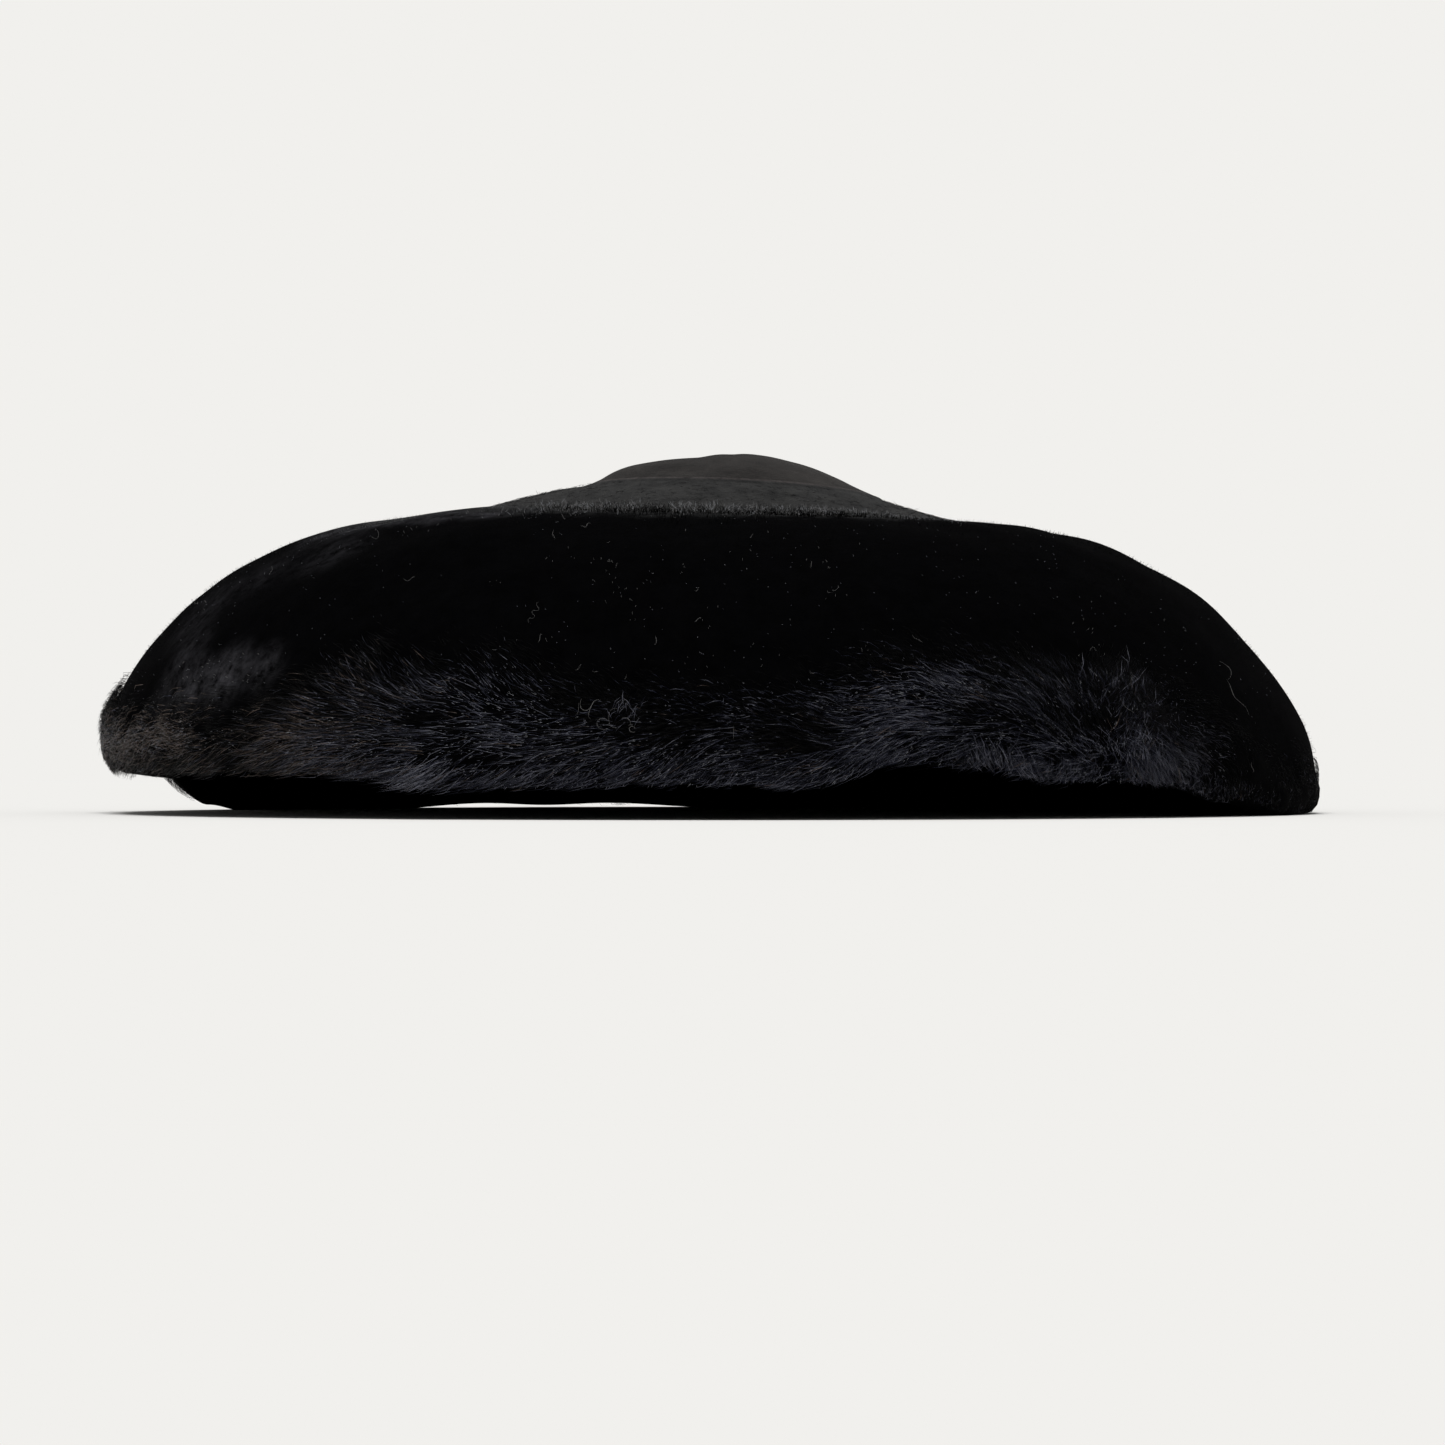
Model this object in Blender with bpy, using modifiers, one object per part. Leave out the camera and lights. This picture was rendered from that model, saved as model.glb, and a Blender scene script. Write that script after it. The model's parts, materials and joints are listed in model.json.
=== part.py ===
"""Saucer hat of long-haired black fur felt: a low dome crown on a wide brim rolled like a saucer.

Metres, +Z up. A viewer in front of the hat looks along +Y and has +X to the right. The hat rests on the
lowest stretches of its wavy rim, and the origin is the bottom centre of its box.
"""
from collections import namedtuple
from math import atan2, cos, hypot, pi, radians, sin
from random import Random

import bpy

# Felt
WALL = 0.0025
SEAM_GAP = 0.0003

# Crown: a low dome with a steeper foot, set a little to the right of the brim's middle
CROWN_RADIUS = 0.0565
CROWN_RISE = 0.0132
CROWN_FOOT_DROP = 0.0019
CROWN_SHIFT = 0.008
CROWN_LEAN = radians(2.5)
CROWN_STEPS = 48
DOME_RINGS = 6

# Brim: flank, flat shelf, rolled side and a rim that curls in
HEAD_HOLE_RADIUS = 0.050
FLANK_TOP = 0.1220
SHELF_TOP = 0.1085
FLANK_EASE = 1.3
ROLL_START = 0.112
ROLL_REACH = 0.2262
ROLL_POWER = 0.57
CURL_RADIUS = 0.011
CURL_TURN = radians(62)
BRIM_LEAN = radians(1.25)
BRIM_STEPS = 144
FLANK_RINGS = 4
ROLL_RINGS = 8
INNER_RINGS = 9

# Fur: tiers of pointed locks, each lock two columns of the brim's grid wide
FUR_TOP = 0.060
LOCK_DEPTH = 0.0050
LOCK_POINTS = (0.008, 0.008, 0.0035)
VALLEY_SHARE = 0.12
COMB_TURN = radians(15)
TUFT_SPREAD = radians(3.5)
LOCK_SIZE_RANGE = (0.75, 1.25)
LOCK_SEED = 7

# The rings of one tier: how far down the tier, how much of the lock's depth and of its point's length
LockRow = namedtuple("LockRow", "along rise point")
LOCK_ROWS = (
    LockRow(along=0.06, rise=0.08, point=0.0),
    LockRow(along=0.50, rise=0.80, point=0.4),
    LockRow(along=0.94, rise=1.00, point=1.0),
)

# One row for each section round the brim: azimuth in degrees from the front towards +X, the height of
# the rim's lower edge, and how far the shelf stands above or below its middle height
Section = namedtuple("Section", "azimuth rim_height shelf_offset")
SECTIONS = (
    Section(azimuth=0, rim_height=0.0095, shelf_offset=-0.0045),
    Section(azimuth=7, rim_height=0.0090, shelf_offset=-0.0045),
    Section(azimuth=15, rim_height=0.0180, shelf_offset=-0.0045),
    Section(azimuth=20, rim_height=0.0175, shelf_offset=-0.0040),
    Section(azimuth=31, rim_height=0.0120, shelf_offset=-0.0035),
    Section(azimuth=42, rim_height=0.0100, shelf_offset=-0.0025),
    Section(azimuth=50, rim_height=0.0040, shelf_offset=-0.0015),
    Section(azimuth=62, rim_height=-0.0035, shelf_offset=-0.0005),
    Section(azimuth=90, rim_height=-0.0035, shelf_offset=0.0010),
    Section(azimuth=120, rim_height=-0.0035, shelf_offset=0.0010),
    Section(azimuth=160, rim_height=-0.0035, shelf_offset=0.0),
    Section(azimuth=205, rim_height=0.0015, shelf_offset=0.0),
    Section(azimuth=225, rim_height=-0.0030, shelf_offset=-0.0010),
    Section(azimuth=241, rim_height=-0.0035, shelf_offset=-0.0020),
    Section(azimuth=250, rim_height=0.0010, shelf_offset=-0.0025),
    Section(azimuth=259, rim_height=0.0120, shelf_offset=-0.0030),
    Section(azimuth=275, rim_height=0.0140, shelf_offset=-0.0030),
    Section(azimuth=322, rim_height=0.0145, shelf_offset=-0.0030),
    Section(azimuth=342, rim_height=0.0100, shelf_offset=-0.0040),
)

# Longer locks at the rim: azimuth in degrees, and how much further down the lock's point reaches
Tuft = namedtuple("Tuft", "azimuth length")
TUFTS = (
    Tuft(azimuth=21, length=0.006),
    Tuft(azimuth=337, length=0.005),
)

FELT_COLOUR = (0.012, 0.012, 0.014, 1.0)
CROWN_COLOUR = (0.030, 0.028, 0.026, 1.0)


def smooth_step(low, high, value):
    """0 below low, 1 above high, and a smooth rise between them."""
    share = min(max((value - low) / (high - low), 0.0), 1.0)
    return share * share * (3.0 - 2.0 * share)


def around(azimuth, column):
    """A column of SECTIONS at any azimuth in radians, eased from one section to the next."""
    degrees_on = azimuth * 180.0 / pi % 360.0
    for index, section in enumerate(SECTIONS):
        following = SECTIONS[(index + 1) % len(SECTIONS)]
        span = (following.azimuth - section.azimuth) % 360
        past = (degrees_on - section.azimuth) % 360.0
        if past < span:
            start = getattr(section, column)
            end = getattr(following, column)
            return start + (end - start) * smooth_step(0.0, span, past)
    raise ValueError("the sections do not close the ring")


def flank_height(radius):
    """Felt height on the flank: a flat seat below the crown, then a fall that eases into the shelf."""
    share = min(max((radius - CROWN_RADIUS) / (ROLL_START - CROWN_RADIUS), 0.0), 1.0)
    return SHELF_TOP + (FLANK_TOP - SHELF_TOP) * (1.0 - share) ** FLANK_EASE


def roll_height(radius):
    """Felt height on the rolled side, a flattened quarter ellipse down to the start of the curl."""
    share = (radius - ROLL_START) / (ROLL_REACH - ROLL_START)
    return CURL_RADIUS + (SHELF_TOP - CURL_RADIUS) * max(1.0 - share * share, 0.0) ** ROLL_POWER


def roll_radius(height):
    """The radius at which the rolled side has a given height."""
    share = (height - CURL_RADIUS) / (SHELF_TOP - CURL_RADIUS)
    return ROLL_START + (ROLL_REACH - ROLL_START) * (1.0 - share ** (1.0 / ROLL_POWER)) ** 0.5


def offset_inward(points, distance):
    """The points of a profile moved to the inner side of the felt, at right angles to the profile."""
    moved = []
    for index, (radius, height) in enumerate(points):
        before = points[max(index - 1, 0)]
        after = points[min(index + 1, len(points) - 1)]
        run = after[0] - before[0]
        fall = after[1] - before[1]
        length = hypot(run, fall)
        moved.append((radius + fall / length * distance, height - run / length * distance))
    return moved


def warp(azimuth, radius, height):
    """Place a point of the turned brim on the real one: crown shift, leans, shelf heights, rim wave."""
    centred = 1.0 - smooth_step(CROWN_RADIUS, ROLL_START, radius)
    lean = BRIM_LEAN + (CROWN_LEAN - BRIM_LEAN) * centred
    x = radius * sin(azimuth) + CROWN_SHIFT * centred
    y = -radius * cos(azimuth)
    up_share = min(max(height / SHELF_TOP, 0.0), 1.0)
    top_change = around(azimuth, "shelf_offset") * (1.0 - centred) - lean * x
    z = height + top_change * up_share + around(azimuth, "rim_height") * (1.0 - up_share)
    return x, y, max(z, 0.0)


def turned(name, profile, closed, steps):
    """Turn a profile of (radius, height) points round the Z axis, and return the mesh it makes.

    The integer attribute row holds each point's place along the profile.
    """
    mesh = bpy.data.meshes.new(name + "_profile")
    edges = [(index, index + 1) for index in range(len(profile) - 1)]
    if closed:
        edges.append((len(profile) - 1, 0))
    mesh.from_pydata([(radius, 0.0, height) for radius, height in profile], edges, [])
    rows = mesh.attributes.new("row", "INT", "POINT")
    rows.data.foreach_set("value", list(range(len(profile))))
    blank = bpy.data.objects.new(name + "_blank", mesh)
    bpy.context.scene.collection.objects.link(blank)
    screw = blank.modifiers.new("turn", "SCREW")
    screw.axis = "Z"
    screw.angle = 2.0 * pi
    screw.steps = steps
    screw.render_steps = steps
    screw.use_merge_vertices = not closed
    screw.merge_threshold = 0.00001
    screw.use_smooth_shade = True
    depsgraph = bpy.context.evaluated_depsgraph_get()
    result = bpy.data.meshes.new_from_object(blank.evaluated_get(depsgraph))
    result.name = name
    bpy.data.objects.remove(blank)
    bpy.data.meshes.remove(mesh)
    return result


def material(name, colour, roughness):
    made = bpy.data.materials.new(name)
    made.use_nodes = True
    shader = made.node_tree.nodes["Principled BSDF"]
    shader.inputs["Base Color"].default_value = colour
    shader.inputs["Roughness"].default_value = roughness
    shader.inputs["Metallic"].default_value = 0.0
    made.diffuse_color = colour
    return made


def place(name, mesh, collection, finish):
    piece = bpy.data.objects.new(name, mesh)
    mesh.materials.clear()
    mesh.materials.append(finish)
    collection.objects.link(piece)
    return piece


def fur_rows():
    """(height, tier, LockRow) for each ring of the fur zone, from its top down to the rim."""
    bottom = CURL_RADIUS * (1.0 - sin(CURL_TURN))
    tier_height = (FUR_TOP - bottom) / (len(LOCK_POINTS) - 1 + LOCK_ROWS[-1].along)
    rows = []
    for tier in range(len(LOCK_POINTS)):
        for lock_row in LOCK_ROWS:
            rows.append((FUR_TOP - tier_height * (tier + lock_row.along), tier, lock_row))
    return rows


def outer_point(height):
    """A point of the felt's outer side at a height on the roll or on the curl below it."""
    if height >= CURL_RADIUS:
        return roll_radius(height), height
    drop = CURL_RADIUS - height
    reach = (CURL_RADIUS * CURL_RADIUS - drop * drop) ** 0.5
    return ROLL_REACH - CURL_RADIUS + reach, height


def brim_profile():
    """The brim's closed profile, down its outer side and back up its inner side.

    With it comes a table from the place of each fur ring in the profile to its tier and LockRow.
    """
    radii = [HEAD_HOLE_RADIUS, CROWN_RADIUS - WALL, CROWN_RADIUS]
    for index in range(1, FLANK_RINGS):
        radii.append(CROWN_RADIUS + (ROLL_START - CROWN_RADIUS) * index / FLANK_RINGS)
    outer = [(radius, flank_height(radius)) for radius in radii]
    fur_start = roll_radius(FUR_TOP)
    for index in range(ROLL_RINGS):
        share = sin(0.5 * pi * index / ROLL_RINGS)
        radius = ROLL_START + (fur_start - ROLL_START) * share
        outer.append((radius, roll_height(radius)))
    fur = {}
    for height, tier, lock_row in fur_rows():
        fur[len(outer)] = (tier, lock_row)
        outer.append(outer_point(height))
    inner_all = offset_inward(outer, WALL)
    stride = (len(outer) - 1) / INNER_RINGS
    inner = [inner_all[round(stride * index)] for index in range(INNER_RINGS + 1)]
    return outer + inner[::-1], fur


def comb_share(row, fur_start, fur_end, last_row):
    """How far a ring is turned with the combed fur: none on top, all of it at the rim, less inside."""
    if row <= fur_end:
        return max(row - fur_start, 0) / (fur_end - fur_start)
    return (last_row - row) / (last_row - fur_end - 1)


def tuft_length(azimuth):
    """How much further down the rim's locks reach at an azimuth, in radians."""
    length = 0.0
    for tuft in TUFTS:
        away = abs((azimuth - radians(tuft.azimuth) + pi) % (2.0 * pi) - pi)
        length += tuft.length * (1.0 - smooth_step(0.0, TUFT_SPREAD, away))
    return length


def lock_sizes():
    """A size for the lock on each column of each tier, so that no two neighbours are quite alike."""
    chance = Random(LOCK_SEED)
    low, high = LOCK_SIZE_RANGE
    return [[chance.uniform(low, high) for _ in range(BRIM_STEPS)] for _ in LOCK_POINTS]


def lock_growth(column, tier, lock_row, sizes):
    """How far a lock stands out of the felt and hangs down, at one column of one of its rings.

    Locks sit on every second column, and each tier is set one column on from the tier above.
    """
    if (column + tier) % 2:
        return LOCK_DEPTH * lock_row.rise * VALLEY_SHARE, 0.0
    size = sizes[tier][column]
    return LOCK_DEPTH * lock_row.rise * size, LOCK_POINTS[tier] * lock_row.point * size


def build_brim(collection, finish):
    profile, fur = brim_profile()
    mesh = turned("brim", profile, True, BRIM_STEPS)
    rows = [item.value for item in mesh.attributes["row"].data]
    sizes = lock_sizes()
    fur_start = min(fur)
    fur_end = max(fur)
    for vertex, row in zip(mesh.vertices, rows):
        azimuth = atan2(vertex.co.x, -vertex.co.y)
        radius = hypot(vertex.co.x, vertex.co.y)
        height = vertex.co.z
        if row in fur:
            tier, lock_row = fur[row]
            column = round(azimuth / (2.0 * pi) * BRIM_STEPS) % BRIM_STEPS
            out, down = lock_growth(column, tier, lock_row, sizes)
            radius += out
            height -= down
        azimuth -= COMB_TURN * comb_share(row, fur_start, fur_end, len(profile) - 1)
        if row == fur_end:
            height -= tuft_length(azimuth)
        vertex.co = warp(azimuth, radius, height)
    mesh.update()
    return place("brim", mesh, collection, finish)


def build_crown(collection, finish):
    outer = []
    foot = flank_height(CROWN_RADIUS) + SEAM_GAP
    for index in range(DOME_RINGS + 1):
        radius = CROWN_RADIUS * sin(0.5 * pi * index / DOME_RINGS)
        dome = CROWN_RISE * cos(0.5 * pi * radius / CROWN_RADIUS)
        outer.append((radius, foot + CROWN_FOOT_DROP + dome))
    inner = offset_inward(outer, WALL)
    inner[0] = (0.0, outer[0][1] - WALL)
    inner_radius = CROWN_RADIUS - WALL
    inner[-1] = (inner_radius, flank_height(inner_radius) + SEAM_GAP)
    profile = outer + [(CROWN_RADIUS, foot)] + inner[::-1]
    mesh = turned("crown", profile, False, CROWN_STEPS)
    for vertex in mesh.vertices:
        azimuth = atan2(vertex.co.x, -vertex.co.y)
        vertex.co = warp(azimuth, hypot(vertex.co.x, vertex.co.y), vertex.co.z)
    mesh.update()
    return place("crown", mesh, collection, finish)


def centre_on_origin(pieces):
    """Move the meshes so that the origin is the bottom centre of the box round all of them."""
    corners = [vertex.co for piece in pieces for vertex in piece.data.vertices]
    middle_x = (min(co.x for co in corners) + max(co.x for co in corners)) / 2.0
    middle_y = (min(co.y for co in corners) + max(co.y for co in corners)) / 2.0
    for piece in pieces:
        for vertex in piece.data.vertices:
            vertex.co.x -= middle_x
            vertex.co.y -= middle_y
        piece.data.update()


def main():
    for old in list(bpy.data.objects):
        bpy.data.objects.remove(old)
    collection = bpy.data.collections.new("saucer_hat")
    bpy.context.scene.collection.children.link(collection)
    crown = build_crown(collection, material("smooth_felt", CROWN_COLOUR, 0.85))
    brim = build_brim(collection, material("fur_felt", FELT_COLOUR, 0.7))
    centre_on_origin([crown, brim])


main()
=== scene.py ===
"""The looks of the saucer hat: fine felt, a velvety nap, long combed fur and a little lint."""

from collections import namedtuple
import json
from math import cos, pi, radians, tau

import bpy
import numpy as np
from numpy.random import default_rng
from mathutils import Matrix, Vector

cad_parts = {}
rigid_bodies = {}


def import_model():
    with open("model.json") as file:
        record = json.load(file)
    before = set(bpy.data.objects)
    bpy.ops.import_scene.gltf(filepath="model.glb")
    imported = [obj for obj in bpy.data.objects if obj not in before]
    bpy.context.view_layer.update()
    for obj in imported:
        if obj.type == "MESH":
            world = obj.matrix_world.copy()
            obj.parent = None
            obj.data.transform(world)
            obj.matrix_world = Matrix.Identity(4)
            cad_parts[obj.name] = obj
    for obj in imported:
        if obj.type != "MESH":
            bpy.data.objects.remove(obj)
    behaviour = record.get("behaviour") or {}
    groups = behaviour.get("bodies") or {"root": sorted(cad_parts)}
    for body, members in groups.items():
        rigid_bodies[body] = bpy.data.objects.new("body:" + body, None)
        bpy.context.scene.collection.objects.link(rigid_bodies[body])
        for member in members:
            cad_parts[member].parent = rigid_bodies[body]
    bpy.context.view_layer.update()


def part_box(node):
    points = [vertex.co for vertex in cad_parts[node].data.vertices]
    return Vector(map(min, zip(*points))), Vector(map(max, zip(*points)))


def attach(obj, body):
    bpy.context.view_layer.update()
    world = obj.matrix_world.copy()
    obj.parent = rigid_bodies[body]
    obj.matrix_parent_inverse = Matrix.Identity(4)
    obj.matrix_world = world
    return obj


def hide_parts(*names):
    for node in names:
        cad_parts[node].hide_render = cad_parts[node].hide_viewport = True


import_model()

# The shape of the hat's felt, in metres: the same sizes as the solids have
WALL = 0.0025
CROWN_RADIUS = 0.0565
CROWN_RISE = 0.0132
CROWN_FOOT_DROP = 0.0019
CROWN_SHIFT = 0.008
CROWN_LEAN = radians(2.5)
HEAD_HOLE_RADIUS = 0.05
FLANK_TOP = 0.122
SHELF_TOP = 0.1085
FLANK_EASE = 1.3
ROLL_START = 0.112
ROLL_REACH = 0.2262
ROLL_POWER = 0.57
CURL_RADIUS = 0.011
CURL_TURN = radians(62)
BRIM_LEAN = radians(1.25)
WELT_OFFSET = 0.0008
WELT_REACH = 0.001
WELT_HEIGHT = 0.0006

# How unevenly the felt lies, and how far the fur's dense undercoat swells out of it
CROWN_UNEVEN = 0.00035
BRIM_UNEVEN = 0.0005
UNDERCOAT = 0.0018
UNDERCOAT_CLUMPS = 0.0007

# How finely the felt is followed: points along its profile, rows and steps of its meshes, and the
# distances of the crown's last rings from its foot
FLANK_POINTS = 60
ROLL_POINTS = 240
CURL_POINTS = 30
CROWN_RINGS = 40
CROWN_STEPS = 160
CROWN_EDGE_RINGS = (0.0012, 0.0008, 0.0004, 0.0)
# How many of the crown's last rows carry the painted highlight
CROWN_PAINTED_HIGHLIGHT_ROWS = 5
BRIM_STEPS = 420
BRIM_SEAT_ROWS = 14
BRIM_OUTER_ROWS = 84
BRIM_INNER_ROWS = 32
NORMAL_STEP = 0.0004
NORMAL_TURN = NORMAL_STEP / 0.15

# Where the crown's felt is pressed out or in, and where the flank swells out left of it
Press = namedtuple("Press", "x depth reach")
PRESSES = (
    Press(-0.041, 0.0013, 0.012),
    Press(-0.013, -0.0005, 0.01),
    Press(0.016, 0.0011, 0.02),
)
FLANK_SWELL = 0.0019
SWELL_X = -0.076
SWELL_REACH = 0.022

# Sections round the brim: azimuth in degrees from the front towards +X, the height of the rim's lower
# edge, and how far the shelf stands above or below its middle height
Section = namedtuple("Section", "azimuth rim_height shelf_offset")
SECTIONS = [Section(*row) for row in (
    (0, 0.0095, -0.0045),
    (7, 0.009, -0.0045),
    (15, 0.018, -0.0045),
    (20, 0.0175, -0.004),
    (31, 0.012, -0.0035),
    (42, 0.01, -0.0025),
    (50, 0.004, -0.0015),
    (62, -0.0035, -0.0005),
    (90, -0.0035, 0.001),
    (120, -0.0035, 0.001),
    (160, -0.0035, 0.0),
    (205, 0.0015, 0.0),
    (225, -0.003, -0.001),
    (241, -0.0035, -0.002),
    (250, 0.001, -0.0025),
    (259, 0.012, -0.003),
    (275, 0.014, -0.003),
    (322, 0.0145, -0.003),
    (342, 0.01, -0.004),
)]

# How the fur is combed round the brim. A turn is the angle in degrees by which a hair's tip points
# above the level line towards smaller azimuths: at the rim, at the parting line and at the fur's top.
# fur_top is the height where long fur ends, lift how far tips stand out and hang how far they reach past
# the rim. Tuck is 0 where the fur hangs straight down at the rim and 1 where it follows the felt's curl.
Comb = namedtuple("Comb", "azimuth low_turn middle_turn top_turn length fur_top lift hang tuck")
COMBING = [Comb(*row) for row in (
    (0, -66, -14, 26, 0.012, 0.03, 0.0035, 0.0072, 0),
    (10, -50, 4, 24, 0.015, 0.031, 0.004, 0.0085, 0),
    (18, -58, 2, 30, 0.017, 0.036, 0.0045, 0.0105, 0),
    (27, -76, 0, 34, 0.016, 0.04, 0.0045, 0.0115, 0),
    (32, -70, 30, 50, 0.012, 0.042, 0.005, 0.0095, 0),
    (36, -108, 150, 85, 0.01, 0.041, 0.0045, 0.0085, 0),
    (40, -88, -150, 105, 0.01, 0.038, 0.004, 0.0085, 0.1),
    (46, -60, -160, -170, 0.008, 0.031, 0.003, 0.008, 0.4),
    (58, -60, -60, -40, 0.006, 0.018, 0.0012, 0.004, 0.9),
    (90, -70, -35, -10, 0.005, 0.01, 0.0005, 0.004, 1),
    (112, -66, -25, 5, 0.008, 0.016, 0.002, 0.004, 0.9),
    (135, -60, -10, 25, 0.013, 0.034, 0.0045, 0.007, 0.7),
    (165, -50, 0, 35, 0.015, 0.04, 0.005, 0.007, 0.6),
    (205, -60, -12, 30, 0.014, 0.034, 0.0045, 0.007, 0.4),
    (240, -50, 5, 40, 0.015, 0.036, 0.0045, 0.004, 0.7),
    (272, -26, -2, 14, 0.011, 0.028, 0.004, 0.006, 1),
    (300, -34, -4, 8, 0.016, 0.02, 0.003, 0.01, 0.4),
    (318, -38, -3, 14, 0.017, 0.022, 0.003, 0.0095, 0.1),
    (332, -40, -8, 34, 0.017, 0.038, 0.004, 0.0088, 0),
    (343, -50, -8, 40, 0.015, 0.041, 0.0045, 0.0098, 0),
    (352, -60, -10, 34, 0.013, 0.031, 0.004, 0.0085, 0),
)]

# Spots where the coat shines or lies dull: azimuth in degrees, height, how far they spread in degrees
# and in metres, and what they add to the share of glossy hairs; the painted glints follow the same share
Shine = namedtuple("Shine", "azimuth height spread_turn spread_height gain")
SHINES = [Shine(*row) for row in (
    (16, 0.013, 4, 0.007, 0.9),
    (16, 0.026, 6, 0.008, 0.42),
    (21, 0.033, 4, 0.007, 0.32),
    (10, 0.003, 5, 0.005, 0.55),
    (9, 0.016, 3.5, 0.006, -0.65),
    (0, 0.006, 10, 0.006, 0.8),
    (-9, 0.005, 6, 0.005, 0.45),
    (-15, 0.022, 3.5, 0.01, 0.5),
    (-19, 0.034, 4, 0.008, 0.3),
    (-22, 0.01, 7, 0.009, 0.4),
    (-10, 0.029, 3, 0.006, -0.6),
    (-4, 0.021, 4, 0.004, -0.35),
    (2, 0.029, 5, 0.006, 0.25),
    (38, 0.009, 5, 0.007, 1.05),
    (31, 0.007, 6, 0.006, 0.75),
    (25, 0.006, 4, 0.006, 0.35),
    (22, 0.018, 2.5, 0.004, -0.35),
    (31.5, 0.0175, 2, 0.003, -0.7),
    (27, 0.04, 5, 0.008, -0.35),
    (-55, 0.015, 9, 0.006, 0.95),
    (-74, 0.013, 10, 0.008, 0.62),
    (-33, 0.01, 9, 0.006, 0.45),
    (-29, 0.036, 4, 0.006, 0.15),
    (-53, 0.001, 12, 0.006, -0.55),
    (-46, 0.02, 6, 0.008, -0.5),
    (-41, 0.012, 5, 0.006, -0.25),
    (-38, 0.031, 5, 0.008, -0.45),
    (-80, 0.03, 14, 0.01, -0.2),
    (62, 0.024, 13, 0.036, -0.6),
    (54, 0.007, 6, 0.006, 0.45),
    (140, 0.02, 12, 0.012, 0.35),
    (185, 0.016, 14, 0.01, 0.3),
    (228, 0.02, 10, 0.012, 0.35),
)]

# Tufts that stand out of the combed fur, with the same angles and lengths; fan is how far their hairs
# spread in degrees, and pale the share of hairs whose tips carry a painted glint
Tuft = namedtuple("Tuft", "azimuth height turn fan length lift spread_turn spread_height count pale")
TUFTS = [Tuft(*row) for row in (
    (-90, 0.024, -12, 18, 0.008, 0.003, 8, 0.008, 600, 0.01),
    (-86, 0.032, -40, 20, 0.005, 0.001, 9, 0.008, 500, 0.01),
    (-21, 0.009, -38, 12, 0.017, 0.01, 1.9, 0.006, 90, 0.36),
    (-23, 0.004, -50, 18, 0.015, 0.01, 1.9, 0.005, 70, 0.36),
    (22, 0.008, -98, 10, 0.011, 0.006, 1.6, 0.005, 110, 0.45),
    (25.5, 0.006, -112, 10, 0.01, 0.006, 1, 0.004, 60, 0.45),
    (30, 0.006, -60, 14, 0.009, 0.005, 2.2, 0.004, 120, 0.25),
    (38, 0.012, -100, 16, 0.01, 0.006, 2.6, 0.007, 420, 0.14),
    (36, 0.032, 105, 30, 0.008, 0.005, 3, 0.008, 200, 0.08),
    (45, 0.004, -60, 20, 0.008, 0.004, 3, 0.004, 260, 0.12),
    (-7, 0.024, 130, 40, 0.006, 0.006, 1.2, 0.004, 90, 0.2),
)]

# Painted sheen: soft grey patches where the velvet lies another way and catches the light, and a row of them
# along the roll's top at the left
PaintedSheen = namedtuple("PaintedSheen", "azimuth height reach strength")
PAINTED_SHEEN_PATCHES = [PaintedSheen(*row) for row in (
    (-57, 0.028, 0.017, 0.35),
    (-52, 0.033, 0.018, 0.8),
    (-47, 0.037, 0.018, 0.92),
    (-56, 0.047, 0.018, 0.4),
    (-42, 0.04, 0.014, 0.55),
    (-61, 0.064, 0.024, 0.32),
    (-55, 0.08, 0.022, 0.2),
    (-46, 0.087, 0.022, 0.28),
    (-54, 0.101, 0.034, 0.36),
    (-60, 0.101, 0.024, 0.65),
    (-51, 0.1025, 0.02, 0.8),
    (-44, 0.1025, 0.017, 0.85),
    (-37, 0.102, 0.017, 0.9),
    (-30, 0.102, 0.014, 0.75),
    (38, 0.03, 0.022, 0.32),
    (43, 0.012, 0.018, 0.25),
)]

# Loose fibres on the coat, as the photograph shows them: the middle's place and the length in pixels,
# the direction above the level line, how far it turns from end to end and how far it swings to and
# fro, in degrees, and how often
Fibre = namedtuple("Fibre", "photo_x photo_y length turn bend swing swings", defaults=(0, 1))
FIBRES = [Fibre(*row) for row in (
    (586, 529, 12, 14, 20, 45, 1.5),
    (554, 538, 10, -82, 20, 20, 1),
    (534, 616, 36, -116, 10, 72, 2.5),
    (540, 641, 8, 70, 20, 10, 1),
    (656, 643, 9, 80, 25, 20, 1),
    (697, 592, 6, 30, 90),
    (751, 540, 5, 40, 20),
    (811, 568, 7, 80, 30),
    (596, 674, 6, -10, 60),
    (580, 670, 9, 50, 30, 10, 1),
    (626, 679, 5, 60, 40),
    (812, 675, 7, -40, 120),
    (376, 538, 16, 60, 240),
    (272, 574, 9, -100, -60),
    (410, 582, 13, 5, 50, 20, 1),
    (469, 629, 12, 35, 20, 40, 2),
    (435, 615, 6, 10, 40),
    (916, 642, 15, -50, 25),
    (1120, 686, 6, 80, 10),
    (1089, 651, 5, 50, 40),
    (1222, 673, 25, -60, -125),
    (1235, 699, 42, -58, 20, 14, 1.5),
    (1236, 769, 9, -80, 15),
    (836, 592, 8, 15, 90),
    (830, 595, 6, -30, 90),
    (581, 715, 12, 75, 20, 10, 1),
    (733, 737, 13, 88, 10),
    (1116, 714, 14, -45, 15, 10, 1),
)]

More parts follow.
